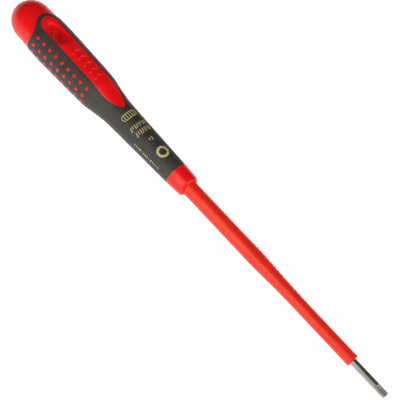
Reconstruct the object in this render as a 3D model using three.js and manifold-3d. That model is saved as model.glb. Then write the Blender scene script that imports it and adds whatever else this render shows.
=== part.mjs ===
// An insulated hex driver for electrical work, in millimetres.
// The origin is the centre of the flat end of the tip. +X runs along the tool and out of the tip,
// and +Z is square to the middle of one of the two windows in the grip.
// Stations are distances along the tool from the pole of the domed butt.
import * as THREE from "three";
import { mergeVertices } from "three/addons/utils/BufferGeometryUtils.js";
import Module from "manifold-3d";

const wasm = await Module();
wasm.setup();

// Driving dimensions.
const overallLength = 220.8;
const hexAcrossFlats = 2.5;
const hexLength = 4.8;
const shankRadius = 1.5;
const bareMetal = 18; // length of steel left free in front of the insulation
const domeLength = 9.6;
const domeRadius = 8.75;
const gripFront = 101; // where the rubber ends and the collar begins
const collarFront = 108.7;
const gripProud = 0.3; // how far the rubber stands above the hard red moulding
const gripDepth = 1.3; // thickness of the rubber
const fitGap = 0.12; // between pieces turned about the same axis
const cutGap = 0.3; // between pieces cut from one another
const reach = 14; // half the size of a cutting block, well outside the handle

// Outer shape of the rubber, as stations and radii: belly, knee, waist and neck.
const gripProfile = [
  [domeLength, 9.03],
  [13.8, 9.14],
  [22.8, 9.31],
  [36.4, 9.01],
  [49.8, 8.58],
  [53.2, 8.32],
  [55.8, 7.83],
  [60.1, 7.11],
  [64.8, 6.5],
  [78.2, 5.98],
  [gripFront, 5.25],
];

// Collar of the hard moulding, from the rubber's front edge to the mouth round the insulation.
const collarProfile = [
  [gripFront, 5.25],
  [103.8, 5.12],
  [107.6, 4.82],
  [108.2, 4.6],
  [108.6, 4.2],
  [collarFront, 3.9],
  [collarFront, 0],
];

// Window in the rubber: a round rear end, straight sides and a pointed arch in front.
const windowRear = 15.3;
const windowFront = 66.8;
const windowHalfWidth = 4.1;
const archFoot = 56.8;
const archFootPull = 4.6; // how long the arch keeps the direction of the straight sides
const archTipPull = 1.7; // how blunt its point is
const windowGrowth = 1.4; // a pointed end moves this much further than the sides when it grows

// Edge between dome and rubber: round a window's rear end, then an S out to the flanks.
const domeEdgeMiddle = 13.45;
const domeEdgeFlank = 17.3;
const domeEdgeFlankStart = 8.2; // distance from the middle plane where the flanks' part begins
const domeEdgeMiddlePull = 4.8;
const domeEdgeFlankPull = 5;

// Slot across the butt for hanging the tool up.
const hangHoleStation = 25;
const hangHoleLength = 8.4;
const hangHoleWidth = 5.2;

// Studs of the hard moulding that pass through the rubber, in rows on both flanks.
const studRadius = 0.86;
const studPitch = 3.81;
const studsInRow = 9;
const firstStud = 20.45;
const studRowAngles = [51.8, 77.3, 102.7, 128.2]; // degrees from the middle of a window
const studRoot = 1.8; // below the rubber's surface
const studProud = 0.2; // above it

// Raised chevrons on the panel in each window.
const chevrons = 5;
const chevronFirst = 35.2;
const chevronPitch = 3.6;
const chevronHalfWidth = 1.9;
const chevronStroke = 1;
const chevronSweep = 1.2; // how far the arms reach forward, so that the tool lies on two arms and its tip
const chevronRoot = 6.6; // distance from the axis at which they start
const chevronTop = 8.95;
const chevronDrop = 0.1; // each is this much lower than the one behind it, as the panel falls away

// Insulation: a tube with a small root fillet, thick at the handle and slim towards the tip.
const sleeveRadius = 3.36;
const slimSleeveRadius = 2.68;
const sleeveFront = overallLength - bareMetal;
const sleeveTaper = [
  [148, sleeveRadius],
  [152.5, 3.2],
  [160.8, 2.9],
  [169.8, slimSleeveRadius],
];
const sleeveLip = 0.06; // the front end swells by this much, then rounds off
const sleeveRootRadius = 3.7;
const sleeveRootLength = 2.4;

// Steel bar: tang and rear end inside the handle.
const bladeRear = 48.8;
const tangRear = 53.8;
const tangLength = 8;
const tangWidth = 6.6;
const tangThickness = 1.6;
const hexShoulder = 0.3; // length of the cone between shank and hexagon

// Hard core moulded round the tang, with ribs that stop it turning.
const coreRear = 32.8;
const coreFront = 91.8;
const coreProfile = [
  [coreRear, 4.2],
  [coreRear + 1, 4.9],
  [54.8, 4.9],
  [64.8, 3.8],
  [coreFront, 3.2],
];
const coreRibs = 6;
const coreRibRear = 36.8;
const coreRibFront = 52.8;
const coreRibRoot = 3.6;
const coreRibTop = 5.6;
const coreRibWidth = 1.4;
const sleeveRear = coreFront + cutGap;

// Prints: thin films of ink, centred on one line beside the window's middle.
const printTurn = 8.5; // degrees from the middle of the window
const edgePrintTurn = 76;
const inkUnderside = 0.08; // heights above the rubber
const inkTop = 0.24;
const panelFrame = { station: 70.9, length: 3.1, width: 7.8, bars: 3, line: 0.42 };
const upperStrokes = { station: 76.5, height: 2, width: 7.8, count: 7, line: 0.4 };
const lowerStrokes = { station: 79.6, height: 2.4, width: 7.2, count: 6, line: 0.4 };
const dateStrokes = { station: 84.5, height: 1.9, width: 2, count: 2, line: 0.4 };
const ringSign = { station: 91.7, radius: 2.6, hexagonRadius: 1.75, sides: 28 };
const edgeBand = { rear: 80.8, front: 95.4, width: 0.8 };

// How finely round surfaces are divided.
const handleSides = 32;
const handleCurveSteps = 20; // two for each stretch between points of the grip's profile
const sleeveSides = 24;
const coreSides = 18;
const studSides = 6;
const domeSteps = 9;

function solidFrom(geometry) {
  const bare = geometry.clone();
  bare.deleteAttribute("normal");
  bare.deleteAttribute("uv");
  const merged = mergeVertices(bare, 1e-4);
  const mesh = new wasm.Mesh({
    numProp: 3,
    vertProperties: merged.attributes.position.array,
    triVerts: new Uint32Array(merged.index.array),
  });
  return new wasm.Manifold(mesh);
}

function geometryFrom(solid) {
  const mesh = solid.getMesh();
  const geometry = new THREE.BufferGeometry();
  geometry.setAttribute("position", new THREE.BufferAttribute(mesh.vertProperties, 3));
  geometry.setIndex(new THREE.BufferAttribute(mesh.triVerts, 1));
  geometry.computeVertexNormals();
  return geometry;
}

// A solid turned about the tool's axis from pairs of station and radius.
function turned(profile, sides) {
  const points = profile.map(([station, radius]) => new THREE.Vector2(radius, station - overallLength));
  const geometry = new THREE.LatheGeometry(points, sides);
  geometry.rotateZ(-Math.PI / 2);
  return solidFrom(geometry);
}

// A plan outline (x along the tool, y across it) carried straight along Z between two heights.
function slab(shape, low, high, curveSegments = 8) {
  const options = { depth: high - low, bevelEnabled: false, curveSegments };
  const geometry = new THREE.ExtrudeGeometry(shape, options);
  geometry.translate(0, 0, low);
  return solidFrom(geometry);
}

function rectangle(rear, front, halfWidth) {
  const shape = new THREE.Shape();
  shape.moveTo(rear - overallLength, -halfWidth);
  shape.lineTo(front - overallLength, -halfWidth);
  shape.lineTo(front - overallLength, halfWidth);
  shape.lineTo(rear - overallLength, halfWidth);
  return shape;
}

// Corners of a regular polygon.
function corners(centreX, radius, count, firstAngle) {
  const points = [];
  for (let i = 0; i < count; i += 1) {
    const angle = firstAngle + (i * 2 * Math.PI) / count;
    points.push(new THREE.Vector2(centreX + radius * Math.cos(angle), radius * Math.sin(angle)));
  }
  return points;
}

// Turns a solid about the tool's axis, from +Z towards -Y.
function turnedBy(solid, degrees) {
  return solid.rotate([degrees, 0, 0]);
}

function joined(solids) {
  return solids.reduce((sum, next) => sum.add(next));
}

// The belly curve of the handle, moved outwards by an offset, as points that a lathe can take.
function handleCurve(offset, from, to) {
  const knots = gripProfile.map(([station, radius]) => new THREE.Vector2(station, radius));
  const points = new THREE.SplineCurve(knots).getPoints(handleCurveSteps);
  const fine = points.map((point) => [point.x, point.y + offset]);
  const radiusAt = (station) => {
    const next = fine.findIndex((point) => point[0] >= station);
    if (next <= 0) return fine[0][1];
    const [before, after] = [fine[next - 1], fine[next]];
    const share = (station - before[0]) / (after[0] - before[0]);
    return before[1] + share * (after[1] - before[1]);
  };
  const inside = fine.filter((point) => point[0] > from + 0.5 && point[0] < to - 0.5);
  return [[from, radiusAt(from)], ...inside, [to, radiusAt(Math.min(to, gripFront - 1e-6))]];
}

// Plan outline of a window, grown outwards all round.
function windowOutline(grow) {
  const shape = new THREE.Shape();
  const half = windowHalfWidth + grow;
  const rear = windowRear - grow - overallLength;
  const front = windowFront + grow * windowGrowth - overallLength;
  const foot = archFoot - overallLength;
  const pull = archTipPull + grow;
  shape.moveTo(foot, -half);
  shape.bezierCurveTo(foot + archFootPull, -half, front, -pull, front, 0);
  shape.bezierCurveTo(front, pull, foot + archFootPull, half, foot, half);
  shape.lineTo(rear + half, half);
  shape.absarc(rear + half, 0, half, Math.PI / 2, (3 * Math.PI) / 2, false);
  return shape;
}

// Plan outline of everything in front of the edge between the dome and the rubber.
function coveredOutline(grow) {
  const shape = new THREE.Shape();
  const middle = domeEdgeMiddle - grow - overallLength;
  const flank = domeEdgeFlank - grow - overallLength;
  const front = gripFront + grow - overallLength;
  const [inner, outer, start] = [domeEdgeMiddlePull, domeEdgeFlankPull, domeEdgeFlankStart];
  shape.moveTo(front, -reach);
  shape.lineTo(front, reach);
  shape.lineTo(flank, reach);
  shape.lineTo(flank, start);
  shape.bezierCurveTo(flank - 0.2, outer, middle, inner, middle, 0);
  shape.bezierCurveTo(middle, -inner, flank - 0.2, -outer, flank, -start);
  shape.lineTo(flank, -reach);
  return shape;
}

// The space of the rubber cover, or with a gap the pocket that it fills in the hard moulding.
function rubberSpace(gap) {
  const rear = domeLength + 0.4;
  const front = gripFront + 2;
  const block = turned([[rear, 0], [rear, reach], [front, reach], [front, 0]], handleSides);
  const skin = turned([[rear, 0], ...handleCurve(0, rear, front), [front, 0]], handleSides);
  const below = handleCurve(-gripDepth - gap, domeLength, front + 0.2);
  const inner = turned([[domeLength, 0], ...below, [front + 0.2, 0]], handleSides);
  const cover = slab(coveredOutline(gap), -reach, reach);
  const windows = slab(windowOutline(-gap), -reach, reach);
  const outside = gap > 0 ? block : skin;
  return outside.subtract(inner).intersect(cover).subtract(windows);
}

function studs(radius, inside, outside) {
  const pieces = [];
  for (const flank of [1, -1]) {
    for (const angle of studRowAngles) {
      for (let i = 0; i < studsInRow; i += 1) {
        const station = firstStud + studPitch * i;
        const surface = handleCurve(0, station, station + 2)[0][1];
        const geometry = new THREE.CylinderGeometry(radius, radius, outside + inside, studSides);
        geometry.rotateX(Math.PI / 2);
        geometry.translate(station - overallLength, 0, surface + (outside - inside) / 2);
        pieces.push(turnedBy(solidFrom(geometry), flank * angle));
      }
    }
  }
  return joined(pieces);
}

function hangHole() {
  const shape = new THREE.Shape();
  const centre = hangHoleStation - overallLength;
  const end = hangHoleWidth / 2;
  const run = hangHoleLength / 2 - end;
  shape.absarc(centre + run, 0, end, -Math.PI / 2, Math.PI / 2, false);
  shape.absarc(centre - run, 0, end, Math.PI / 2, (3 * Math.PI) / 2, false);
  return slab(shape, -reach, reach);
}

// Steel bar: a round shank with a flattened tang in the handle and a hexagon at the tip.
function bladeSolid(gap) {
  const radius = shankRadius + gap;
  const shoulder = overallLength - hexLength;
  const rear = bladeRear - gap;
  const corner = hexAcrossFlats / Math.sqrt(3);
  const profile = [
    [rear, 0],
    [rear, radius],
    [shoulder - hexShoulder, radius],
    [shoulder, corner],
    [shoulder, 0],
  ];
  const wings = slab(
    rectangle(tangRear - gap, tangRear + tangLength + gap, tangWidth / 2 + gap),
    -tangThickness / 2 - gap,
    tangThickness / 2 + gap,
  );
  const hexagon = new THREE.Shape(corners(0, corner, 6, Math.PI / 2));
  const prism = new THREE.ExtrudeGeometry(hexagon, { depth: hexLength + 1, bevelEnabled: false });
  prism.rotateX(Math.PI / 2);
  prism.rotateZ(Math.PI / 2);
  const across = new THREE.Box3().setFromBufferAttribute(prism.attributes.position);
  prism.translate(-across.max.x, 0, 0);
  return joined([turned(profile, sleeveSides), wings, solidFrom(prism)]);
}

function sleeveSolid() {
  const bore = shankRadius + fitGap;
  const profile = [
    [sleeveRear, bore],
    [sleeveRear, sleeveRadius],
    [collarFront - cutGap, sleeveRadius],
    [collarFront + cutGap, sleeveRootRadius],
    [collarFront + sleeveRootLength / 2, sleeveRadius + fitGap],
    [collarFront + sleeveRootLength, sleeveRadius],
    ...sleeveTaper,
    [sleeveFront - 1.2, slimSleeveRadius],
    [sleeveFront - 0.3, slimSleeveRadius + sleeveLip],
    [sleeveFront, slimSleeveRadius - 0.15],
    [sleeveFront, bore],
    [sleeveRear, bore],
  ];
  return turned(profile, sleeveSides);
}

function coreSolid(gap) {
  const inner = coreProfile.slice(1, -1).map(([station, radius]) => [station, radius + gap]);
  const [rearStation, rearRadius] = coreProfile[0];
  const [frontStation, frontRadius] = coreProfile[coreProfile.length - 1];
  const body = [
    [rearStation - gap, 0],
    [rearStation - gap, rearRadius + gap],
    ...inner,
    [frontStation + gap, frontRadius + gap],
    [frontStation + gap, 0],
  ];
  const pieces = [turned(body, coreSides)];
  for (let i = 0; i < coreRibs; i += 1) {
    const outline = rectangle(coreRibRear - gap, coreRibFront + gap, coreRibWidth / 2 + gap);
    const rib = slab(outline, coreRibRoot, coreRibTop + gap);
    pieces.push(turnedBy(rib, (i * 360) / coreRibs + 30));
  }
  return joined(pieces);
}

function panelChevrons() {
  const pieces = [];
  for (const side of [0, 180]) {
    for (let i = 0; i < chevrons; i += 1) {
      const nose = chevronFirst + chevronPitch * i - overallLength;
      const arm = nose + chevronSweep;
      const shape = new THREE.Shape();
      shape.moveTo(nose, 0);
      shape.lineTo(arm, chevronHalfWidth);
      shape.lineTo(arm - chevronStroke, chevronHalfWidth);
      shape.lineTo(nose - chevronStroke, 0);
      shape.lineTo(arm - chevronStroke, -chevronHalfWidth);
      shape.lineTo(arm, -chevronHalfWidth);
      const top = chevronTop - chevronDrop * i;
      pieces.push(turnedBy(slab(shape, chevronRoot, top), side));
    }
  }
  return joined(pieces);
}

// One red moulding: dome, panels in the windows, studs through the rubber, and the collar.
function shellSolid() {
  const dome = [];
  for (let i = 0; i <= domeSteps; i += 1) {
    const angle = (i / domeSteps) * (Math.PI / 2);
    dome.push([domeLength * (1 - Math.cos(angle)), domeRadius * Math.sin(angle)]);
  }
  const belly = handleCurve(-gripProud, domeLength + 2, gripFront - 2);
  const outside = turned([...dome, ...belly, ...collarProfile], handleSides);
  const [rear, front, radius] = [sleeveRear - 1, collarFront - cutGap, sleeveRadius + fitGap];
  const mouthProfile = [
    [rear, 0],
    [rear, radius],
    [front, radius],
    [collarFront + 2, sleeveRootRadius + 1],
    [collarFront + 2, 0],
  ];
  const mouth = turned(mouthProfile, sleeveSides);
  return outside
    .subtract(rubberSpace(fitGap))
    .add(studs(studRadius, studRoot, studProud))
    .add(panelChevrons())
    .subtract(joined([hangHole(), mouth, coreSolid(fitGap), bladeSolid(fitGap)]));
}

// Black rubber cover with its two windows and a hole for each stud.
function gripSolid() {
  return rubberSpace(0).subtract(studs(studRadius + fitGap, studRoot + cutGap, 1));
}

// A thin film of ink that follows the rubber, in the plan shape given, turned about the axis.
// Shapes of prints are drawn about (station, 0), with y running round the grip.
function print(shape, degrees) {
  const [rear, front] = [windowFront - 7, gripFront - 1];
  const under = handleCurve(inkUnderside, rear - 1, front + 0.5);
  const over = handleCurve(inkTop, rear, front);
  const base = turned([[rear - 1, 0], ...under, [front + 0.5, 0]], handleSides);
  const block = turnedBy(slab(shape, 1, reach), degrees);
  return turned([[rear, 0], ...over, [front, 0]], handleSides).subtract(base).intersect(block);
}

// A frame with bars across it, in place of a maker's panel.
function framedPanel({ station, length, width, bars, line }) {
  const shape = rectangle(station - length / 2, station + length / 2, width / 2);
  const openings = bars + 1;
  const step = (width - line) / openings;
  for (let i = 0; i < openings; i += 1) {
    const low = -width / 2 + line + step * i;
    const hole = new THREE.Path();
    const [rear, front] = [station - length / 2 + line, station + length / 2 - line];
    hole.moveTo(rear - overallLength, low);
    hole.lineTo(front - overallLength, low);
    hole.lineTo(front - overallLength, low + step - line);
    hole.lineTo(rear - overallLength, low + step - line);
    shape.holes.push(hole);
  }
  return shape;
}

// A comb of short strokes on one base line, in place of a line of lettering.
function strokes({ station, height, width, count, line }) {
  const step = (width - line) / (count - 1);
  const rear = station - height / 2 - overallLength;
  const front = station + height / 2 - overallLength;
  const shape = new THREE.Shape();
  shape.moveTo(rear, -width / 2);
  for (let i = 0; i < count; i += 1) {
    const low = -width / 2 + step * i;
    shape.lineTo(front, low);
    shape.lineTo(front, low + line);
    if (i < count - 1) {
      shape.lineTo(rear + line, low + line);
      shape.lineTo(rear + line, low + step);
    }
  }
  shape.lineTo(rear, width / 2);
  return shape;
}

// The usual sign for a hex drive: a ring round a hexagon.
function driveSign({ station, radius, hexagonRadius, sides }) {
  const centre = station - overallLength;
  const shape = new THREE.Shape(corners(centre, radius, sides, 0));
  shape.holes.push(new THREE.Path(corners(centre, hexagonRadius, 6, 0)));
  return shape;
}

const materials = {
  steel: new THREE.MeshStandardMaterial({ color: 0x6a6863, roughness: 0.35, metalness: 1 }),
  sleeve: new THREE.MeshStandardMaterial({ color: 0xe8281f, roughness: 0.35, metalness: 0 }),
  shell: new THREE.MeshStandardMaterial({ color: 0xd9070f, roughness: 0.3, metalness: 0 }),
  core: new THREE.MeshStandardMaterial({ color: 0xb9b7ae, roughness: 0.6, metalness: 0 }),
  rubber: new THREE.MeshStandardMaterial({ color: 0x35332f, roughness: 0.75, metalness: 0 }),
  ink: new THREE.MeshStandardMaterial({ color: 0xafa56e, roughness: 0.6, metalness: 0 }),
};

const group = new THREE.Group();

function addNode(name, solid, material) {
  const mesh = new THREE.Mesh(geometryFrom(solid), material);
  mesh.name = name;
  group.add(mesh);
}

const edgeOutline = rectangle(edgeBand.rear, edgeBand.front, edgeBand.width / 2);
addNode("blade", bladeSolid(0), materials.steel);
addNode("blade_insulation", sleeveSolid(), materials.sleeve);
addNode("handle_core", coreSolid(0).subtract(bladeSolid(fitGap)), materials.core);
addNode("handle_shell", shellSolid(), materials.shell);
addNode("grip", gripSolid(), materials.rubber);
addNode("print_panel", print(framedPanel(panelFrame), printTurn), materials.ink);
addNode("print_line_1", print(strokes(upperStrokes), printTurn), materials.ink);
addNode("print_line_2", print(strokes(lowerStrokes), printTurn), materials.ink);
addNode("print_date_mark", print(strokes(dateStrokes), printTurn), materials.ink);
addNode("print_drive_sign", print(driveSign(ringSign), printTurn), materials.ink);
addNode("print_edge_line", print(edgeOutline, edgePrintTurn), materials.ink);

export default group;
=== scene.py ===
import math

import bmesh
import bpy
import numpy as np
from mathutils import Matrix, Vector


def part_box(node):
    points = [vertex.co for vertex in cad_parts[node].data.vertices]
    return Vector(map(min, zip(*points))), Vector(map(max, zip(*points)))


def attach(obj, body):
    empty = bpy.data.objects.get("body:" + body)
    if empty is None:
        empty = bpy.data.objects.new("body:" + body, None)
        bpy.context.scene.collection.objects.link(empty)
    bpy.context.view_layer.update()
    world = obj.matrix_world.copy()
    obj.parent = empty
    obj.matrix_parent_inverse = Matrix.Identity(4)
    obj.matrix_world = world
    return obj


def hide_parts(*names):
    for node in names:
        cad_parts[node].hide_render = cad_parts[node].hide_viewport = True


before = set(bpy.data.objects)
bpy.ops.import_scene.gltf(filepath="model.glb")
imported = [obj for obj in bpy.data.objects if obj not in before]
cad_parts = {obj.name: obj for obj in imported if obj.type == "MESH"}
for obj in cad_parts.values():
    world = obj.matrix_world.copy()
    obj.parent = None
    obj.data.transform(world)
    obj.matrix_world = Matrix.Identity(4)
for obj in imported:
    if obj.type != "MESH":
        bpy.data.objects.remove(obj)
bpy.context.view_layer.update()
print("frame loaded")

# Shapes are worked out in millimetres. A station is the distance along the tool from the pole of
# the butt. A turn is the angle about the tool, from the middle of the upper window towards -Y.
mm = 0.001
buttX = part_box("handle_shell")[0].x


def stationOf(x):
    return (x - buttX) / mm


toolLength = stationOf(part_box("blade")[1].x)
gripFront = stationOf(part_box("grip")[1].x)
collarFront = stationOf(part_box("handle_shell")[1].x)
sleeveRear = stationOf(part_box("blade_insulation")[0].x)
sleeveFront = stationOf(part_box("blade_insulation")[1].x)
bladeRear = stationOf(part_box("blade")[0].x)


def smoothThrough(knots, at):
    # a cubic through every knot that never overshoots: the slope there is the weighted harmonic mean
    # of the slopes on its two sides, or level where they differ in sign
    x, y = np.array(knots, float).T
    step = np.diff(x)
    slope = np.diff(y) / step
    before, after = slope[:-1], slope[1:]
    heavy, light = step[:-1] + 2 * step[1:], 2 * step[:-1] + step[1:]
    same = before * after > 0
    mean = (heavy + light) / (light / np.where(same, before, 1) + heavy / np.where(same, after, 1))
    tangent = np.concatenate([slope[:1], np.where(same, mean, 0), slope[-1:]])
    at = np.clip(np.asarray(at, float), x[0], x[-1])
    i = np.clip(np.searchsorted(x, at) - 1, 0, len(x) - 2)
    t = (at - x[i]) / step[i]
    rise = (2 * t**3 - 3 * t**2 + 1) * y[i] + (3 * t**2 - 2 * t**3) * y[i + 1]
    lean = (t**3 - 2 * t**2 + t) * tangent[i] + (t**3 - t**2) * tangent[i + 1]
    return rise + lean * step[i]


def easeStep(low, high, value):
    # 0 below low, 1 above high, and a smooth S between
    t = np.clip((value - low) / (high - low), 0, 1)
    return t * t * (3 - 2 * t)


def hexagonRadius(angle, acrossFlats):
    # distance from the middle to the side of a hexagon that has a corner at angle 0
    fromCorner = (angle + math.pi / 6) % (math.pi / 3) - math.pi / 6
    return acrossFlats / 2 / np.cos(math.pi / 6 - np.abs(fromCorner))


def bezier(points, count):
    # a cubic Bezier curve at evenly spaced parameters
    t = np.linspace(0, 1, count)[:, None]
    p = np.array(points, float)
    return (1 - t)**3 * p[0] + 3 * t * (1 - t)**2 * p[1] + 3 * t**2 * (1 - t) * p[2] + t**3 * p[3]


def evenly(points, count):
    # the same line at points evenly spaced along its length
    points = np.array(points, float)
    run = np.concatenate([[0], np.cumsum(np.linalg.norm(np.diff(points, axis=0), axis=1))])
    at = np.linspace(0, run[-1], count)
    return np.stack([np.interp(at, run, points[:, k]) for k in range(points.shape[1])], axis=1)


def placed(station, radius, turn):
    # station, radius and turn to points of the row frame in metres
    station, radius, turn = np.broadcast_arrays(station, radius, turn)
    across = -radius * np.sin(turn) * mm
    return np.stack([buttX + station * mm, across, radius * np.cos(turn) * mm], axis=-1)


def gridFaces(rows, columns, closed=True, first=0):
    # quads between neighbouring rows and columns; a closed grid joins its last column to its first
    i = np.arange(rows - 1)[:, None]
    j = np.arange(columns if closed else columns - 1)[None, :]
    after = (j + 1) % columns
    corners = [i * columns + j, i * columns + after, (i + 1) * columns + after, (i + 1) * columns + j]
    return first + np.stack(np.broadcast_arrays(*corners), axis=-1).reshape(-1, 4)


mergeAt = 2e-6                   # metres, at which seams and poles close
edgeAngle = 40                   # degrees, past which an edge is drawn sharp


def meshFrom(name, grids, sharpAngle=edgeAngle):
    # joins grids of points (rows, columns, 3) into one closed body, seams and poles merged
    points, faces, count = [], [], 0
    for grid, closed in grids:
        rows, columns = grid.shape[:2]
        points.append(grid.reshape(-1, 3))
        faces.append(gridFaces(rows, columns, closed, count))
        count += rows * columns
    mesh = bpy.data.meshes.new(name)
    mesh.from_pydata(np.concatenate(points).tolist(), [], np.concatenate(faces).tolist())
    shape = bmesh.new()
    shape.from_mesh(mesh)
    bmesh.ops.remove_doubles(shape, verts=shape.verts, dist=mergeAt)
    bmesh.ops.dissolve_degenerate(shape, edges=shape.edges, dist=mergeAt)
    bmesh.ops.recalc_face_normals(shape, faces=shape.faces)
    shape.to_mesh(mesh)
    shape.free()
    smoothMesh(mesh, sharpAngle)
    piece = bpy.data.objects.new(name, mesh)
    bpy.context.scene.collection.objects.link(piece)
    return piece


def smoothMesh(mesh, sharpAngle):
    mesh.shade_smooth()
    mesh.set_sharp_from_angle(angle=math.radians(sharpAngle))


def combined(piece, other, operation):
    # cuts or joins whole bodies, and keeps the result as the piece's own mesh
    step = piece.modifiers.new("shape", "BOOLEAN")
    step.operation = operation
    step.solver = "MANIFOLD"
    step.object = other
    graph = bpy.context.evaluated_depsgraph_get()
    made = bpy.data.meshes.new_from_object(piece.evaluated_get(graph))
    piece.modifiers.clear()
    made.name = piece.name
    piece.data = made
    smoothMesh(made, edgeAngle)
    return piece


def thrownAway(*tools):
    for tool in tools:
        bpy.data.objects.remove(tool)


handle = {
    "domeLength": 9.6,
    "rubberProud": 0.3,
    "rubberDepth": 1.3,
    "lip": 0.35,                 # radius of the rubber's rounded edges
    "belly": [(9.6, 9.03), (13.8, 9.14), (22.8, 9.31), (36.4, 9.01), (49.8, 8.58), (53.2, 8.32),
              (55.8, 7.83), (60.1, 7.11), (64.8, 6.5), (78.2, 5.98), (101, 5.25)],
    "windowRear": 15.3,
    "windowFront": 66.8,
    "windowHalfWidth": 4.1,
    "windowStraight": 24.8,      # where the round end's last bend is over
    "archFoot": 56.8,
    "archReach": 4.6,            # the arch's two handles: along its side, and across its point
    "archPoint": 1.7,
    "domeEdgeMiddle": 13.45,
    "domeEdgeSide": 17.3,
    "domeEdgeBend": [4.8, 5.0, 8.2],     # how far across its two handles and its foot stand
    "domeEdgeLead": 0.2,         # how far behind its foot the second handle stands
    "shoulderStart": 59.8,
    "neckStart": 68.8,
    "meanRadius": 9.2,           # turns a turn at the butt into millimetres
}
# columns along each stretch of a window's outline, the same in every ring of the rubber round it
edgeColumns = {"end": 21, "corner": 23, "side": 57, "shoulder": 19, "neck": 17}
curvePoints = {"arc": 40, "arch": 80, "dome": 60}
rubberRows = {"under": 9, "over": 20, "neckInside": 12, "neckOutside": 44}


def gripRadius(station):
    return smoothThrough(handle["belly"], station)


def turnAt(station, across):
    # the turn at which the grip's surface stands a distance across from the middle plane
    return np.arcsin(np.clip(across / gripRadius(station), -1, 1))


def edgeLayer(line, distance, side):
    # a line of (station, turn) moved along the surface, square to itself
    tangent = np.gradient(line, axis=0)
    radius = gripRadius(line[:, 0])
    along, around = tangent[:, 0], tangent[:, 1] * radius
    size = np.hypot(along, around)
    moved = line.copy()
    moved[:, 0] += side * distance * around / size
    moved[:, 1] -= side * distance * along / size / radius
    moved[0, 1], moved[-1, 1] = line[0, 1], line[-1, 1]
    return moved


lipAngles = np.radians([0, 22.5, 45, 67.5, 90])
lipDistances = [handle["lip"] * (1 - math.cos(a)) for a in lipAngles]
lipDrops = [handle["lip"] * (1 - math.sin(a)) for a in lipAngles]
layerDepth = 0.5


def windowLine():
    # half of a window's outline, from its round rear end to its pointed front
    rear, half, foot = handle["windowRear"], handle["windowHalfWidth"], handle["archFoot"]
    front = handle["windowFront"]
    straight = handle["windowStraight"]
    angle = np.linspace(0, math.pi / 2, curvePoints["arc"])
    arc = np.stack([rear + half * (1 - np.cos(angle)), half * np.sin(angle)], axis=1)
    reach, point = handle["archReach"], handle["archPoint"]
    arch = bezier([(foot, half), (foot + reach, half), (front, point), (front, 0)], curvePoints["arch"])
    arcSplit, archSplit = 33, 41
    parts = [
        evenly(arc[:arcSplit + 1], edgeColumns["end"]),
        evenly(np.concatenate([arc[arcSplit:], [[straight, half]]]), edgeColumns["corner"]),
        evenly([[straight, half], [foot, half]], edgeColumns["side"]),
        evenly(arch[:archSplit + 1], edgeColumns["shoulder"]),
        evenly(arch[archSplit:], edgeColumns["neck"]),
    ]
    plan = np.concatenate([part[:-1] for part in parts[:-1]] + [parts[-1]])
    return np.stack([plan[:, 0], turnAt(plan[:, 0], plan[:, 1])], axis=1)


def domeLine():
    # a quarter of the edge between dome and rubber: round the window's end, then an S to the flank
    middle, side, scale = handle["domeEdgeMiddle"], handle["domeEdgeSide"], handle["meanRadius"]
    nearHandle, farHandle, foot = handle["domeEdgeBend"]
    farStation = side - handle["domeEdgeLead"]
    corners = [(middle, 0), (middle, nearHandle), (farStation, farHandle), (side, foot)]
    curve = bezier(corners, curvePoints["dome"])
    turn = turnAt(curve[:, 0], curve[:, 1])
    bend = np.stack([curve[:, 0], turn * scale], axis=1)
    straight = np.array([[side, math.pi / 2 * scale]])
    split = 36
    first = evenly(bend[:split + 1], edgeColumns["end"])
    second = evenly(np.concatenate([bend[split:], straight]), edgeColumns["corner"])
    line = np.concatenate([first[:-1], second])
    return np.stack([line[:, 0], line[:, 1] / scale], axis=1)


def thereAndBack(grid, back=None):
    # a grid's columns and then the same ones, or those of another grid, backwards to its second
    back = grid if back is None else back
    return np.concatenate([grid, back[:, -2:0:-1]], axis=1)


def allRound(station, radius, turn):
    # a quarter's columns mirrored to the whole turn: from the first window to the second, and on
    # round to the first again, where the last column meets the first
    station, radius = thereAndBack(station), thereAndBack(radius)
    turn = thereAndBack(turn, math.pi - turn)
    twice = [np.concatenate([grid, grid], axis=1) for grid in (station, radius)]
    return placed(*twice, np.concatenate([turn, turn + math.pi], axis=1))


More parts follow.
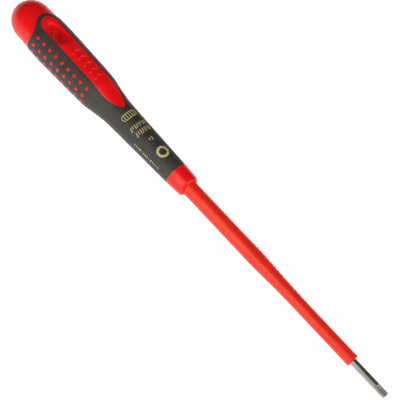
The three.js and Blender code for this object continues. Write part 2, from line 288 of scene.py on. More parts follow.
def rubberBody(name):
    # The rubber as one closed body: a ruled surface from each window's outline to the dome edge,
    # the flanks and the neck, with a rounded lip along every edge, and the same below at the depth.
    depth = handle["rubberDepth"]
    lipFoot = (depth + handle["lip"]) / 2
    window = windowLine()
    dome = domeLine()
    domeInner = edgeLayer(dome, layerDepth, 1)
    corner = domeInner[-1]
    neck = handle["neckStart"]
    quarter = math.pi / 2
    shoulderStart = handle["shoulderStart"]
    flank = evenly([[corner[0], quarter], [shoulderStart, quarter]], edgeColumns["side"])
    shoulder = evenly([[shoulderStart, quarter], [neck, quarter]], edgeColumns["shoulder"])
    neckTurns = np.linspace(quarter, 0, edgeColumns["neck"])
    across = np.stack([np.full(edgeColumns["neck"], neck), neckTurns], axis=1)
    outer = np.concatenate([domeInner[:-1], flank[:-1], shoulder[:-1], across])

    grids = []
    # patch round a window: up from the far side of the pocket, over the lip and out again
    rows = []
    for share in np.linspace(1, 0, rubberRows["under"]):
        rows.append((window + (outer - window) * share, depth))
    rows.append((window, lipFoot))
    for distance, drop in zip(lipDistances, lipDrops):
        rows.append((edgeLayer(window, distance, -1), drop))
    start = edgeLayer(window, layerDepth, -1)
    for share in np.linspace(0, 1, rubberRows["over"]):
        rows.append((start + (outer - start) * share, 0.0))
    station = np.array([line[:, 0] for line, _ in rows])
    turn = np.array([line[:, 1] for line, _ in rows])
    drop = np.array([fall for _, fall in rows])[:, None]
    radius = gripRadius(station) - drop
    station, radius, turn = thereAndBack(station), thereAndBack(radius), thereAndBack(turn, -turn)
    grids.append((placed(station, radius, turn), True))
    grids.append((placed(station, radius, turn + math.pi), True))

    # ring along the dome edge
    rows = [(domeInner, depth), (dome, depth), (dome, lipFoot)]
    rows += [(edgeLayer(dome, d, 1), fall) for d, fall in zip(lipDistances, lipDrops)]
    rows.append((domeInner, 0.0))
    station = np.array([line[:, 0] for line, _ in rows])
    turn = np.array([line[:, 1] for line, _ in rows])
    radius = gripRadius(station) - np.array([fall for _, fall in rows])[:, None]
    grids.append((allRound(station, radius, turn), True))

    # neck, from under its rear end to its front edge and back on the outside
    inside = list(np.linspace(neck, gripFront, rubberRows["neckInside"]))
    stations = inside + [gripFront]
    drops = [depth] * len(inside) + [lipFoot]
    stations += [gripFront - d for d in lipDistances]
    drops += lipDrops
    outside = np.linspace(gripFront - layerDepth, neck, rubberRows["neckOutside"])
    stations += list(outside)
    drops += [0.0] * len(outside)
    stations, drops = np.array(stations)[:, None], np.array(drops)[:, None]
    turns = np.linspace(0, quarter, edgeColumns["neck"])[None, :]
    station, radius, turn = np.broadcast_arrays(stations, gripRadius(stations) - drops, turns)
    grids.append((allRound(station, radius, turn), True))
    return meshFrom(name, grids)


studs = {
    "radius": 0.85,
    "first": 20.45,
    "pitch": 3.81,
    "inRow": 9,
    "turns": [51.8, 77.3, 102.7, 128.2],
    "foot": -1.9,                # below the rubber's surface
    "proud": -0.02,              # the rim's height over the rubber, so it lies just under it
    "rim": 0.2,                  # radius of the rim's bend
    "crown": [(0.5, 0.03), (0.0, 0.04)],     # share of the radius, and height over the rim
    "holeFoot": -2.4,
    "holeTop": 1.0,
    "holeClearance": 0.02,
}


def studPlaces():
    stations = studs["first"] + studs["pitch"] * np.arange(studs["inRow"])
    turns = np.radians(studs["turns"] + [-t for t in studs["turns"]])
    station, turn = np.meshgrid(stations, turns)
    return station.ravel(), turn.ravel()


def studGrids(profile, sides=28):
    # one turned stud profile (radius, height) set square to the surface at every place
    angle = np.linspace(0, 2 * math.pi, sides, endpoint=False)
    reach, height = np.array(profile, float).T
    along = reach[:, None] * np.cos(angle)
    aside = reach[:, None] * np.sin(angle)
    grids = []
    for station, turn in zip(*studPlaces()):
        up = gripRadius(station) + height[:, None] + 0 * along
        radius = np.hypot(up, aside)
        grids.append((placed(station + along, radius, turn + np.arctan2(aside, up)), True))
    return grids


def studProfile():
    radius, rim, proud = studs["radius"], studs["rim"], studs["proud"]
    bend = np.linspace(0, math.pi / 2, 5)
    edge = [(radius - rim * (1 - math.cos(a)), proud - rim * (1 - math.sin(a))) for a in bend]
    crown = [(radius * share, proud + rise) for share, rise in studs["crown"]]
    return [(0.0, studs["foot"]), (radius, studs["foot"])] + edge + crown


def studHoleProfile():
    radius = studs["radius"] + studs["holeClearance"]
    foot, top = studs["holeFoot"], studs["holeTop"]
    return [(0.0, foot), (radius, foot), (radius, top), (0.0, top)]


shell = {
    "chevrons": 5,
    "chevronFirst": 35.2,        # front edge of the first nose, which points to the butt
    "chevronPitch": 3.6,
    "chevronHalfWidth": 1.95,
    "chevronStroke": 0.42,       # half its width
    "chevronSweep": 0.63,        # how far its arms reach forward for each mm across
    "chevronHeight": 0.3,
    "chevronEnds": [0.2, 0.15],          # arms fade from this far inside the half width to this far past
    "chevronSides": [0.75, 1.2],         # and the stroke between these shares of its half width
    "holeStation": 25.0,
    "holeLength": 8.4,
    "holeWidth": 5.2,
    "scoopWidth": 2.2,
    "scoopDepth": 1.25,
    "scoopStretch": 0.7,         # distances behind the hole's middle count this much
    "cutterReach": 12.0,
    "cutterSides": 96,
    "panelStations": [12, 69],   # the relief is drawn between these, this near the middle and
    "panelHalfWidth": 4.6,       # further out than this radius
    "panelRadius": 5.8,
    "domeRows": 42,
    "fineTurns": [31, 0.95],     # columns over a window: their reach and their spacing in degrees
    "wideTurns": [34, 146, 40],  # columns between the windows
    "bellyRows": [(10, 14.8, 12), (15.04, 66.8, 212), (67.8, 99.2, 26)],
    "seatStations": [99.8, 100.4],       # where the collar starts, under the rubber's front edge
    "seatRadius": 5.25,
    "collarEdge": [107.4, 107.5],        # coarse rows stop and fine rows start
    "collarRows": [28, 18],
    "collar": [(99.8, 5.25), (101, 5.25), (103.8, 5.12), (106.0, 4.98), (107.5, 4.84), (108.1, 4.68),
               (108.5, 4.42), (108.65, 4.2), (108.7, 3.98)],
    "mouth": [(0.1, 3.82), (0.7, 3.76), (0.8, 3.42)],    # distance behind the front, radius
    "bore": 3.42,
    "boreEnd": 1.0,              # behind the sleeve's rear end
    "cavityMouth": 3.4,
    "cavity": [(64.8, 3.95), (54.8, 5.75), (34.8, 5.75), (32.5, 4.4), (32.5, 0)],
}


def holeDistance(station, across):
    # distance outside the outline of the hanging hole, a slot with round ends
    end = shell["holeWidth"] / 2
    run = shell["holeLength"] / 2 - end
    past = np.maximum(np.abs(station - shell["holeStation"]) - run, 0)
    return np.hypot(past, across) - end


def chevronRelief(station, across):
    # raised strokes with swept arms, rounded across
    relief = np.zeros_like(station)
    half, sweep = shell["chevronStroke"], shell["chevronSweep"]
    inside, past = shell["chevronEnds"]
    low, high = shell["chevronSides"]
    reach = shell["chevronHalfWidth"]
    arms = 1 - easeStep(reach - inside, reach + past, np.abs(across))
    for i in range(shell["chevrons"]):
        centre = shell["chevronFirst"] + shell["chevronPitch"] * i - half + sweep * np.abs(across)
        away = np.abs(station - centre) / math.hypot(1, sweep)
        relief = np.maximum(relief, (1 - easeStep(half * low, half * high, away)) * arms)
    return relief * shell["chevronHeight"]


def shellBody(name):
    # a profile turned about the tool: the dome, the belly under the rubber, the collar, then back
    # along the bore to the cavity for the core, with the relief of the panels added to its radius
    proud = handle["rubberProud"]
    length = handle["domeLength"]
    domeRadius = float(gripRadius(length)) - proud
    angle = np.linspace(0, math.pi / 2, shell["domeRows"])
    reach, spacing = shell["fineTurns"]
    fineTurn = np.radians(np.arange(-reach, reach + 0.01, spacing))
    wideTurn = np.radians(np.linspace(*shell["wideTurns"]))
    turns = np.concatenate([fineTurn, wideTurn, fineTurn + math.pi, wideTurn + math.pi])
    rows = [(length * (1 - math.cos(a)), domeRadius * math.sin(a)) for a in angle]
    belly = np.concatenate([np.linspace(*part) for part in shell["bellyRows"]])
    rows += list(zip(belly, gripRadius(belly) - proud))
    rows += [(station, shell["seatRadius"]) for station in shell["seatStations"]]
    coarseEnd, fineStart = shell["collarEdge"]
    coarseRows, fineRows = shell["collarRows"]
    collarAt = np.concatenate([np.linspace(gripFront, coarseEnd, coarseRows),
                               np.linspace(fineStart, collarFront, fineRows)])
    rows += list(zip(collarAt, smoothThrough(shell["collar"], collarAt)))
    rows += [(collarFront - behind, radius) for behind, radius in shell["mouth"]]
    boreEnd = sleeveRear - shell["boreEnd"]
    rows += [(boreEnd, shell["bore"]), (boreEnd, shell["cavityMouth"])] + shell["cavity"]
    station, radius = (np.array(v)[:, None] for v in zip(*rows))
    station, radius, turn = np.broadcast_arrays(station, radius, turns[None, :])
    across = radius * np.sin(turn)
    rear, front = shell["panelStations"]
    onPanel = (station > rear) & (station < front) & (radius > shell["panelRadius"])
    onPanel &= np.abs(across) < shell["panelHalfWidth"]
    # the scoop round the hole runs further back than forward, almost to the window's rear end
    drawn = station + (1 - shell["scoopStretch"]) * np.maximum(shell["holeStation"] - station, 0)
    nearness = np.clip(1 - holeDistance(drawn, across) / shell["scoopWidth"], 0, 1.0)
    scoop = nearness ** 2 * shell["scoopDepth"]
    shift = np.where(onPanel, chevronRelief(station, across) - scoop, 0)
    return meshFrom(name, [(placed(station, radius + shift, turn), True)])


def holeCutter(name):
    # the slot's outline carried straight through the handle
    end = shell["holeWidth"] / 2
    run = shell["holeLength"] / 2 - end
    angle = np.linspace(0, 2 * math.pi, shell["cutterSides"], endpoint=False)
    along = end * np.cos(angle) + run * np.sign(np.cos(angle))
    across = end * np.sin(angle)
    levels = np.array([-1, -1, -0.5, 0, 0.5, 1, 1])[:, None] * shell["cutterReach"]
    share = np.array([0, 1, 1, 1, 1, 1, 0])[:, None]
    x = buttX + (shell["holeStation"] + along[None, :] * share) * mm
    grid = np.stack(np.broadcast_arrays(x, across[None, :] * share * mm, levels * mm), axis=-1)
    return meshFrom(name, [(grid, True)])


sleeve = {
    "bore": 1.62,
    "hidden": 3.36,
    "profile": [(111.1, 3.36), (148, 3.36), (152.5, 3.2), (156, 3.06), (160.8, 2.88), (165, 2.77),
                (169.8, 2.68), (201.2, 2.68), (202.6, 2.74)],
    "root": [(108.7, 3.5), (109.3, 3.46), (110.0, 3.4), (111.1, 3.36)],
    # first station, turn, count, pitch and height of each row
    "marks": [(143.8, -57, 14, 2.05, 0.14), (117.4, 13, 7, 2.0, 0.05)],
    "markLength": 1.15,
    "markWidth": 1.5,
    "markNarrow": 0.7,           # every third mark is this much as wide
    "markEdge": 0.15,            # half the width of a mark's sloping side
    "marksFrom": [111, 2.6],     # station and radius past which the marks are drawn
    "rootRows": [111.1, 9],
    "bodyRows": [(111.4, 142, 123), (142.2, 174, 160), (174.6, 202.4, 46)],
    "frontEdge": 0.22,           # radius of the front end's rounded edge
    "frontRadius": 2.53,         # and where its bend is centred
    "frontBend": [70, 6],        # degrees that it turns through, and its rows
    "boreChamfer": 0.1,
    "rearGap": 0.4,              # behind the collar's front, where the hidden part ends
    "sides": 120,
}


def sleeveMarks(station, turn, radius):
    # short raised dashes in two rows
    relief = np.zeros_like(station)
    edge = sleeve["markEdge"]
    for first, degrees, count, pitch, height in sleeve["marks"]:
        aside = np.abs((turn - math.radians(degrees) + math.pi) % (2 * math.pi) - math.pi) * radius
        for i in range(count):
            along = np.abs(station - first - pitch * i)
            low = sleeve["markLength"] / 2
            wide = sleeve["markWidth"] / 2 * (1 if i % 3 else sleeve["markNarrow"])
            dash = 1 - easeStep(low - edge, low + edge, along)
            dash = dash * (1 - easeStep(wide - edge, wide + edge, aside))
            relief = np.maximum(relief, dash * height)
    return relief


def sleeveBody(name):
    # a profile turned about the tool: out at its rear end, along its outside with the marks added to
    # its radius, round the front edge and back down the bore
    inside, bore, chamfer, edge = (sleeve[k] for k in ("hidden", "bore", "boreChamfer", "frontEdge"))
    rows = [(sleeveRear, bore), (sleeveRear, inside), (collarFront - sleeve["rearGap"], inside)]
    root = np.linspace(collarFront, *sleeve["rootRows"])
    body = np.concatenate([np.linspace(*part) for part in sleeve["bodyRows"]])
    rows += list(zip(root, smoothThrough(sleeve["root"], root)))
    rows += list(zip(body, smoothThrough(sleeve["profile"], body)))
    degrees, count = sleeve["frontBend"]
    bend = np.linspace(math.radians(degrees), 0, count)
    centre = sleeve["frontRadius"]
    rows += [(sleeveFront - edge + edge * math.cos(a), centre + edge * math.sin(a)) for a in bend]
    rows += [(sleeveFront, bore + chamfer), (sleeveFront - chamfer, bore), (sleeveRear, bore)]
    station, radius = (np.array(v)[:, None] for v in zip(*rows))
    turns = np.linspace(0, 2 * math.pi, sleeve["sides"], endpoint=False)[None, :]
    station, radius, turn = np.broadcast_arrays(station, radius, turns)
    marksAt, marksOver = sleeve["marksFrom"]
    outside = (radius > marksOver) & (station > marksAt)
    shift = np.where(outside, sleeveMarks(station, turn, radius), 0)
    return meshFrom(name, [(placed(station, radius + shift, turn), True)])


blade = {
    "shank": 1.5,
    "acrossFlats": 2.5,
    "hexLength": 4.8,
    "endChamfer": 0.14,
    "tangRear": 53.8,
    "tangFront": 61.8,
    "tangHalfWidth": 3.3,
    "tangHalfThickness": 0.8,
    "rearChamfer": 0.2,
    "shoulder": 0.3,             # length over which the round shank turns into the hexagon
    "shankRowsEnd": 0.36,        # rows of the shank stop this far behind the hexagon, and rows of
    "hexRowsStart": 0.1,         # the hexagon start this far in front of its rear
    "shankRows": 28,
    "hexRows": 12,
    "hiddenRow": 150,            # a row inside the sleeve, and one this far behind its front
    "lastHidden": 2,
    "endRing": 0.6,              # share of the tip's radius at which its flat end has a ring
    "sides": 120,
    "drawnEdge": 25,             # degrees, past which its edges are drawn sharp
}


def bladeBody(name):
    # rows of a section that is round, flattened at the tang and hexagonal at the tip
    turn = np.linspace(0, 2 * math.pi, blade["sides"], endpoint=False)
    circle = np.full(blade["sides"], blade["shank"])
    least = 1e-6                 # keeps the division below away from nought
    wing = np.minimum(blade["tangHalfWidth"] / np.maximum(np.abs(np.sin(turn)), least),
                      blade["tangHalfThickness"] / np.maximum(np.abs(np.cos(turn)), least))
    tang = np.maximum(circle, wing)
    hexagon = hexagonRadius(turn, blade["acrossFlats"])
    hexRear = toolLength - blade["hexLength"]
    chamfer, rearChamfer, shoulder = blade["endChamfer"], blade["rearChamfer"], blade["shoulder"]
    sections = [(bladeRear, circle * 0), (bladeRear, circle - rearChamfer),
                (bladeRear + rearChamfer, circle), (blade["tangRear"], circle),
                (blade["tangRear"], tang), (blade["tangFront"], tang), (blade["tangFront"], circle),
                (blade["hiddenRow"], circle), (sleeveFront - blade["lastHidden"], circle)]
    shankEnd, hexStart = hexRear - blade["shankRowsEnd"], hexRear + blade["hexRowsStart"]
    sections += [(s, circle) for s in np.linspace(sleeveFront, shankEnd, blade["shankRows"])]
    for share in (0.0, 0.5, 1.0):
        sections.append((hexRear - shoulder * (1 - share), circle + (hexagon - circle) * share))
    sections += [(s, hexagon) for s in np.linspace(hexStart, toolLength - chamfer, blade["hexRows"])]
    sections += [(toolLength, hexagon - chamfer), (toolLength, hexagon * blade["endRing"]),
                 (toolLength, hexagon * 0)]
    station = np.array([s for s, _ in sections])[:, None]
    radius = np.array([r for _, r in sections])
    grid = placed(station, radius, turn[None, :])
    return meshFrom(name, [(grid, True)], sharpAngle=blade["drawnEdge"])


prints = {
    "turn": 8.5,                 # middle of the main prints, in degrees
    "edgeTurn": 76.0,
    "above": 0.045,              # the film's top over the rubber, and its foot under it
    "below": 0.03,
    "gridStep": 0.4,             # a print's grid is about this fine
    "ringColumns": 37,
    "ringRows": 5,
    "line": 0.3,                 # width of the panel's outline and bars
    "barRoom": 2.6,              # line widths that a bar is shorter than the panel
    "stroke": 0.37,
    "strokeLean": 0.25,
    "strokeFoot": [0.34, 0.42],  # a foot's length and width, and how far it stands forward and aside
    "dashLengths": [0.36, 0.6],
    "dashWidths": [0.75, 0.4],
}


def film(plan, degrees):
    # a closed slab from a grid of (station, distance round the grip) about a middle turn
    station, around = plan[..., 0], plan[..., 1]
    radius = gripRadius(station)
    turn = math.radians(degrees) + around / radius
    top = placed(station, radius + prints["above"], turn)
    bottom = placed(station, radius - prints["below"], turn)
    ring = [np.concatenate([g[0], g[1:, -1], g[-1, -2::-1], g[-2:0:-1, 0]]) for g in (top, bottom)]
    return [(top, False), (bottom, False), (np.stack(ring), True)]


def bar(station, around, length, width, degrees=prints["turn"], lean=0.0):
    # a straight print, whose far end leans aside by a share of its length's run
    across = [np.linspace(-0.5, 0.5, max(3, int(size / prints["gridStep"]) + 2)) for size in (length, width)]
    along, aside = np.meshgrid(*across, indexing="ij")
    plan = np.stack([station + along * length, around + aside * width + along * lean], axis=-1)
    return film(plan, degrees)


def ringFilm(station, around, outer, acrossCorners, degrees):
    # a ring whose hole is a hexagon, as two half rings that meet end to end
    grids = []
    for start in (0.0, math.pi):
        angle = np.linspace(start, start + math.pi, prints["ringColumns"])
        inner = hexagonRadius(angle, acrossCorners * math.cos(math.pi / 6))
        share = np.linspace(0, 1, prints["ringRows"])[:, None]
        reach = inner[None, :] * (1 - share) + outer / 2 * share
        plan = np.stack([station + reach * np.cos(angle), around + reach * np.sin(angle)], axis=-1)
        grids += film(plan, degrees)
    return grids


def roundedBars(station, length, width, bars):
    # an outline with round ends, as two halves, and bars across it
    line = prints["line"]
    straightCount, roundCount = 8, 25
    angle = np.concatenate([np.zeros(straightCount), np.linspace(0, math.pi, roundCount),
                            np.full(straightCount, math.pi)])
    reach = np.array([length / 2 - line, length / 2])
    run = width / 2 - length / 2
    straight = np.concatenate([np.linspace(0, run, straightCount), np.full(roundCount, run),
                               np.linspace(run, 0, straightCount)])
    along = reach[:, None] * np.cos(angle)
    grids = []
    for side in (-1, 1):
        around = side * (reach[:, None] * np.sin(angle) + straight)
        grids += film(np.stack([station + along, around], axis=-1), prints["turn"])
    for around in np.linspace(-run, run, bars):
        grids += bar(station, around, length - prints["barRoom"] * line, line)
    return grids


def strokeLine(station, height, width, pattern):
    # upright strokes of different heights, with a short foot on some
    grids = []
    footLength, footWidth = prints["strokeFoot"]
    places = np.linspace(-width / 2, width / 2, len(pattern))
    for around, share in zip(places, pattern):
        size = height * abs(share)
        middle = station - height * (1 - abs(share)) / 2
        grids += bar(middle, around, size, prints["stroke"], lean=prints["strokeLean"])
        if share < 0:
            grids += bar(station + height * footLength, around + footWidth, footLength, footWidth)
    return grids


def edgeDashes(first, last, count):
    # a row of dashes, every third one longer and every fourth one narrower
    grids = []
    usualLength, longLength = prints["dashLengths"]
    usualWidth, narrowWidth = prints["dashWidths"]
    for i, station in enumerate(np.linspace(first, last, count)):
        length = usualLength if i % 3 else longLength
        width = usualWidth if i % 4 else narrowWidth
        grids += bar(station, 0, length, width, prints["edgeTurn"])
    return grids


def linear(hexColour):
    # sRGB hex to linear light
    value = np.array([int(hexColour[i:i + 2], 16) for i in (0, 2, 4)]) / 255
    low, high = value / 12.92, ((value + 0.055) / 1.055) ** 2.4
    return (*np.where(value <= 0.04045, low, high).tolist(), 1.0)


def addNode(tree, kind, values=None, links=None, **settings):
    node = tree.nodes.new(kind)
    for name, value in settings.items():
        setattr(node, name, value)
    for name, value in (values or {}).items():
        node.inputs[name].default_value = value
    for name, socket in (links or {}).items():
        tree.links.new(socket, node.inputs[name])
    return node


def newMaterial(name):
    material = bpy.data.materials.new(name)
    material.use_nodes = True
    tree = material.node_tree
    tree.nodes.clear()
    place = addNode(tree, "ShaderNodeTexCoord").outputs["Object"]
    return material, tree, place


def finishMaterial(tree, values, links):
    shader = addNode(tree, "ShaderNodeBsdfPrincipled", values, links)
    addNode(tree, "ShaderNodeOutputMaterial", links={"Surface": shader.outputs["BSDF"]})


def perMm(size):
    # noise scale for a pattern whose grains are this many millimetres apart
    return 1000 / size


def polishedMoulding(name, light, dark, roughness, glossTint):
    # polypropylene or polyamide, injection moulded in a polished mould: an even deep colour with a
    # faint flow pattern, a soft sheen tinted by the pigment, and fine scuffs that only the sheen shows
    material, tree, place = newMaterial(name)
    flow = addNode(tree, "ShaderNodeTexNoise", {"Scale": perMm(9), "Detail": 3}, {"Vector": place})
    scuffs = addNode(tree, "ShaderNodeTexNoise", {"Scale": perMm(0.7), "Detail": 4}, {"Vector": place})
    share = addNode(tree, "ShaderNodeMapRange", {"From Min": 0.3, "From Max": 0.7},
                    {"Value": flow.outputs["Fac"]})
    colour = addNode(tree, "ShaderNodeMixRGB", {"Color1": linear(dark), "Color2": linear(light)},
                     {"Fac": share.outputs["Result"]})
    gloss = addNode(tree, "ShaderNodeMapRange", {"To Min": roughness - 0.04, "To Max": roughness + 0.04},
                    {"Value": scuffs.outputs["Fac"]})
    bump = addNode(tree, "ShaderNodeBump", {"Strength": 0.06, "Distance": 0.00003},
                   {"Height": scuffs.outputs["Fac"]})
    finishMaterial(tree, {"IOR": 1.49, "Specular Tint": linear(glossTint)}, {
        "Base Color": colour.outputs["Color"],
        "Roughness": gloss.outputs["Result"],
        "Normal": bump.outputs["Normal"]})
    return material


def thermoplasticRubber(name):
    # moulded TPE: spark-eroded grain, dry and matt, with a little dust in the grain
    material, tree, place = newMaterial(name)
    grain = addNode(tree, "ShaderNodeTexVoronoi", {"Scale": perMm(0.32)}, {"Vector": place})
    dust = addNode(tree, "ShaderNodeTexNoise", {"Scale": perMm(6), "Detail": 4}, {"Vector": place})
    share = addNode(tree, "ShaderNodeMapRange", {"From Min": 0.3, "From Max": 0.7},
                    {"Value": dust.outputs["Fac"]})
    colour = addNode(tree, "ShaderNodeMixRGB", {"Color1": linear("2B2822"), "Color2": linear("36332C")},
                     {"Fac": share.outputs["Result"]})
    gloss = addNode(tree, "ShaderNodeMapRange", {"To Min": 0.46, "To Max": 0.58},
                    {"Value": dust.outputs["Fac"]})
    bump = addNode(tree, "ShaderNodeBump", {"Strength": 0.45, "Distance": 0.00006},
                   {"Height": grain.outputs["Distance"]})
    finishMaterial(tree, {"IOR": 1.5, "Specular IOR Level": 0.4}, {
        "Base Color": colour.outputs["Color"],
        "Roughness": gloss.outputs["Result"],
        "Normal": bump.outputs["Normal"]})
    return material


def drawnSteel(name):
    # hardened tool steel, bright drawn along its length and oiled: long fine lines and darker streaks
    material, tree, place = newMaterial(name)
    stretched = addNode(tree, "ShaderNodeMapping", {"Scale": (0.02, 1, 1)},
                        {"Vector": place}, vector_type="POINT")
    lines = addNode(tree, "ShaderNodeTexNoise", {"Scale": perMm(0.18), "Detail": 3},
                    {"Vector": stretched.outputs["Vector"]})
    stain = addNode(tree, "ShaderNodeTexNoise", {"Scale": perMm(2.5), "Detail": 4}, {"Vector": place})
    share = addNode(tree, "ShaderNodeMapRange", {"From Min": 0.3, "From Max": 0.7},
                    {"Value": stain.outputs["Fac"]})
    colour = addNode(tree, "ShaderNodeMixRGB", {"Color1": linear("89857E"), "Color2": linear("A39F97")},
                     {"Fac": share.outputs["Result"]})
    gloss = addNode(tree, "ShaderNodeMapRange", {"To Min": 0.22, "To Max": 0.36},
                    {"Value": lines.outputs["Fac"]})
    bump = addNode(tree, "ShaderNodeBump", {"Strength": 0.25, "Distance": 0.00003},
                   {"Height": lines.outputs["Fac"]})
    finishMaterial(tree, {"Metallic": 1.0}, {
        "Base Color": colour.outputs["Color"],
        "Roughness": gloss.outputs["Result"],
        "Normal": bump.outputs["Normal"]})
    return material


def padInk(name):
    # two-part pad-printing ink, thin enough for the rubber's grain to show through as worn specks
    material, tree, place = newMaterial(name)
    wear = addNode(tree, "ShaderNodeTexNoise", {"Scale": perMm(0.5), "Detail": 4}, {"Vector": place})
    share = addNode(tree, "ShaderNodeMapRange", {"From Min": 0.3, "From Max": 0.6},
                    {"Value": wear.outputs["Fac"]})
    colour = addNode(tree, "ShaderNodeMixRGB", {"Color1": linear("9E9462"), "Color2": linear("C8BE88")},
                     {"Fac": share.outputs["Result"]})
    gloss = addNode(tree, "ShaderNodeMapRange", {"To Min": 0.45, "To Max": 0.65},
                    {"Value": wear.outputs["Fac"]})
    bump = addNode(tree, "ShaderNodeBump", {"Strength": 0.3, "Distance": 0.00003},
                   {"Height": wear.outputs["Fac"]})
    finishMaterial(tree, {"IOR": 1.48}, {
        "Base Color": colour.outputs["Color"],
        "Roughness": gloss.outputs["Result"],
        "Normal": bump.outputs["Normal"]})
    return material


def glassFilledNylon(name):
    # plain hard core, moulded and matt: short glass fibre at its skin makes it faintly mottled
    material, tree, place = newMaterial(name)
    fibre = addNode(tree, "ShaderNodeTexNoise", {"Scale": perMm(0.8), "Detail": 4}, {"Vector": place})
    colour = addNode(tree, "ShaderNodeMixRGB", {"Color1": linear("A9A69B"), "Color2": linear("BDBAB0")},
                     {"Fac": fibre.outputs["Fac"]})
    gloss = addNode(tree, "ShaderNodeMapRange", {"To Min": 0.5, "To Max": 0.65},
                    {"Value": fibre.outputs["Fac"]})
    finishMaterial(tree, {"IOR": 1.53}, {
        "Base Color": colour.outputs["Color"],
        "Roughness": gloss.outputs["Result"]})
    return material


redPlastic = polishedMoulding("redPolypropyleneMoulded", "EE0A14", "E4060E", 0.34, "FFD8C0")
sleevePlastic = polishedMoulding("orangeRedPolyamideMoulded", "E92819", "DF2014", 0.38, "FFDCB8")
rubber = thermoplasticRubber("blackThermoplasticRubberMoulded")
steel = drawnSteel("toolSteelDrawn")
ink = padInk("beigePadInk")
core = glassFilledNylon("nylonGlassFilled")
print("materials made")


def finished(piece, material, slotName, *nodes):
    piece.data.materials.clear()
    piece.data.materials.append(material)
    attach(piece, "root")
    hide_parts(*nodes)
    print(piece.name, len(piece.data.polygons), "faces")


gripPiece = rubberBody("rubberGrip")
shellPiece = shellBody("redMoulding")
studPieces = meshFrom("studsTool", studGrids(studProfile()))
studHoles = meshFrom("studHolesTool", studGrids(studHoleProfile()))
slot = holeCutter("hangHoleTool")
combined(shellPiece, gripPiece, "DIFFERENCE")
combined(shellPiece, studPieces, "UNION")
combined(shellPiece, slot, "DIFFERENCE")
combined(gripPiece, studHoles, "DIFFERENCE")
thrownAway(studPieces, studHoles, slot)
finished(gripPiece, rubber, "grip_rubber", "grip")
finished(shellPiece, redPlastic, "shell_plastic", "handle_shell")
finished(sleeveBody("insulatingSleeve"), sleevePlastic, "sleeve_plastic", "blade_insulation")
finished(bladeBody("steelBlade"), steel, "blade_steel", "blade")

inkMarks = {
    "print_panel": roundedBars(70.9, 2.9, 7.4, 5),
    "print_line_1": strokeLine(76.5, 1.9, 7.2, [1, -1, 0.6, 1, -0.8, 1, 0.6, -1]),
    "print_line_2": strokeLine(79.6, 2.2, 6.4, [-1, 0.7, 1, -0.8, 1, 0.8, -1]),
    "print_date_mark": strokeLine(84.5, 1.8, 1.2, [1, 0.7]),
    "print_drive_sign": ringFilm(91.7, 0, 5.2, 3.5, prints["turn"]),
    "print_edge_line": edgeDashes(81.2, 95.0, 14),
}
for node, grids in inkMarks.items():
    words = node.split("_")
    pieceName = "ink" + "".join(word.capitalize() for word in words[1:])
    finished(meshFrom(pieceName, grids), ink, "print_ink", node)

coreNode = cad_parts["handle_core"]
coreNode.data.materials.clear()
coreNode.data.materials.append(core)
print("pieces made")


stage = {
    "floorSize": 3.0,
    "floorColour": "F4F4F2",
    "floorRoughness": 0.8,
    "floorGlow": 0.72,
    "floorGap": 0.0001,          # metres, under the tool
    "bellyStation": 22.8,        # where the belly is thickest
    "world": 0.1,                # light that the backdrop gives
    "backdrop": 1.0,             # and how bright the camera sees it
}


def plainFloor():
    # one flat plane, leaning so that both the belly of the grip and the tip rest on it
    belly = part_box("grip")[0]
    bellyX = buttX + stage["bellyStation"] * mm
    tipLow = -blade["acrossFlats"] / math.sqrt(3) * mm
    slope = (tipLow - belly.z) / (0 - bellyX)
    half = stage["floorSize"] / 2
    x = np.array([-half, half])
    z = belly.z + slope * (x - bellyX) - stage["floorGap"]
    points = [(x[0], -half, z[0]), (x[1], -half, z[1]), (x[1], half, z[1]), (x[0], half, z[0])]
    mesh = bpy.data.meshes.new("floor")
    mesh.from_pydata(points, [], [(0, 1, 2, 3)])
    floor = bpy.data.objects.new("floor", mesh)
    bpy.context.scene.collection.objects.link(floor)
    material, tree, _ = newMaterial("paleFloor")
    finishMaterial(tree, {"Base Color": linear(stage["floorColour"]), "Roughness": stage["floorRoughness"],
                          "Emission Color": (1, 1, 1, 1), "Emission Strength": stage["floorGlow"]}, {})
    mesh.materials.append(material)


camera = {
    "station": 115.45,           # the point of the axis that the camera looks at
    "below": 0.29,               # and how far below it, in mm
    "distance": 0.5,
    "tipTowards": 14.5,          # degrees that the tip leans towards the camera
    "roundTo": 32.0,             # degrees from the window's middle round to -Y
    "slant": 46.7,               # degrees that the tool runs below the horizontal of the view
    "focalLength": 112.95,
    "sensorWidth": 36,
    "clipStart": 0.01,
}
lean, around, slant = (math.radians(camera[k]) for k in ("tipTowards", "roundTo", "slant"))
towards = np.array([math.sin(lean), -math.cos(lean) * math.sin(around), math.cos(lean) * math.cos(around)])
axis = np.array([1.0, 0, 0])
alongView = axis - axis @ towards * towards
alongView /= np.linalg.norm(alongView)
belowView = np.cross(alongView, towards)
right = math.cos(slant) * alongView - math.sin(slant) * belowView
up = -math.sin(slant) * alongView - math.cos(slant) * belowView
aim = np.array([buttX + camera["station"] * mm, 0, 0]) + belowView * camera["below"] * mm


def matrixFrom(xAxis, yAxis, zAxis, location):
    matrix = np.eye(4)
    matrix[:3, 0], matrix[:3, 1], matrix[:3, 2], matrix[:3, 3] = xAxis, yAxis, zAxis, location
    return Matrix(matrix.tolist())


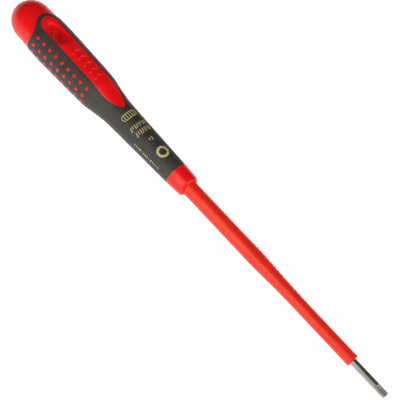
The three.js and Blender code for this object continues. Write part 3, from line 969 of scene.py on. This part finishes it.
def setCamera():
    lens = bpy.data.cameras.new("camera")
    lens.lens = camera["focalLength"]
    lens.sensor_width = camera["sensorWidth"]
    lens.clip_start = camera["clipStart"]
    eye = bpy.data.objects.new("camera", lens)
    eye.matrix_world = matrixFrom(right, up, towards, aim + towards * camera["distance"])
    bpy.context.scene.collection.objects.link(eye)
    bpy.context.scene.camera = eye


# one box hangs almost square to the tool on the near side, below the line of sight, and draws the
# sheen along the sleeve and the neck; a larger one beyond the tip lights the whole tool from where
# its long surfaces don't mirror it
sheenTurn = math.radians(24)
lights = {
    "sheenBox": {"along": -0.08, "near": math.cos(sheenTurn), "towards": 0.0, "below": math.sin(sheenTurn),
                 "distance": 0.3, "width": 0.155, "height": 0.36, "power": 0.72},
    "tipBox": {"along": 0.75, "near": 0.0, "towards": 0.5, "below": -0.5,
               "distance": 1.0, "width": 1.0, "height": 1.0, "power": 7.7},
}
near = np.cross(belowView, axis)     # square to the tool, on the camera's side


def softLight(name, light):
    # a rectangle of light that faces the tool from a direction given in four parts
    direction = (light["along"] * axis + light["near"] * near + light["towards"] * towards
                 + light["below"] * belowView)
    direction = direction / np.linalg.norm(direction)
    data = bpy.data.lights.new(name, "AREA")
    data.shape = "RECTANGLE"
    data.size = light["width"]
    data.size_y = light["height"]
    data.energy = light["power"]
    box = bpy.data.objects.new(name, data)
    side = np.cross(axis, direction)
    side /= np.linalg.norm(side)
    long = np.cross(direction, side)
    box.matrix_world = matrixFrom(-long, side, direction, aim + direction * light["distance"])
    bpy.context.scene.collection.objects.link(box)


setCamera()
plainFloor()
for name, light in lights.items():
    softLight(name, light)
world = bpy.data.worlds.new("studio")
world.use_nodes = True
backdrop = world.node_tree.nodes["Background"]
backdrop.inputs["Color"].default_value = (1, 1, 1, 1)
# the backdrop is white where the camera sees it, and gives little light of its own
path = addNode(world.node_tree, "ShaderNodeLightPath")
strength = addNode(world.node_tree, "ShaderNodeMapRange",
                   {"To Min": stage["world"], "To Max": stage["backdrop"]},
                   {"Value": path.outputs["Is Camera Ray"]})
world.node_tree.links.new(strength.outputs["Result"], backdrop.inputs["Strength"])
bpy.context.scene.world = world
bpy.context.scene.view_settings.view_transform = "Standard"
print("stage set")
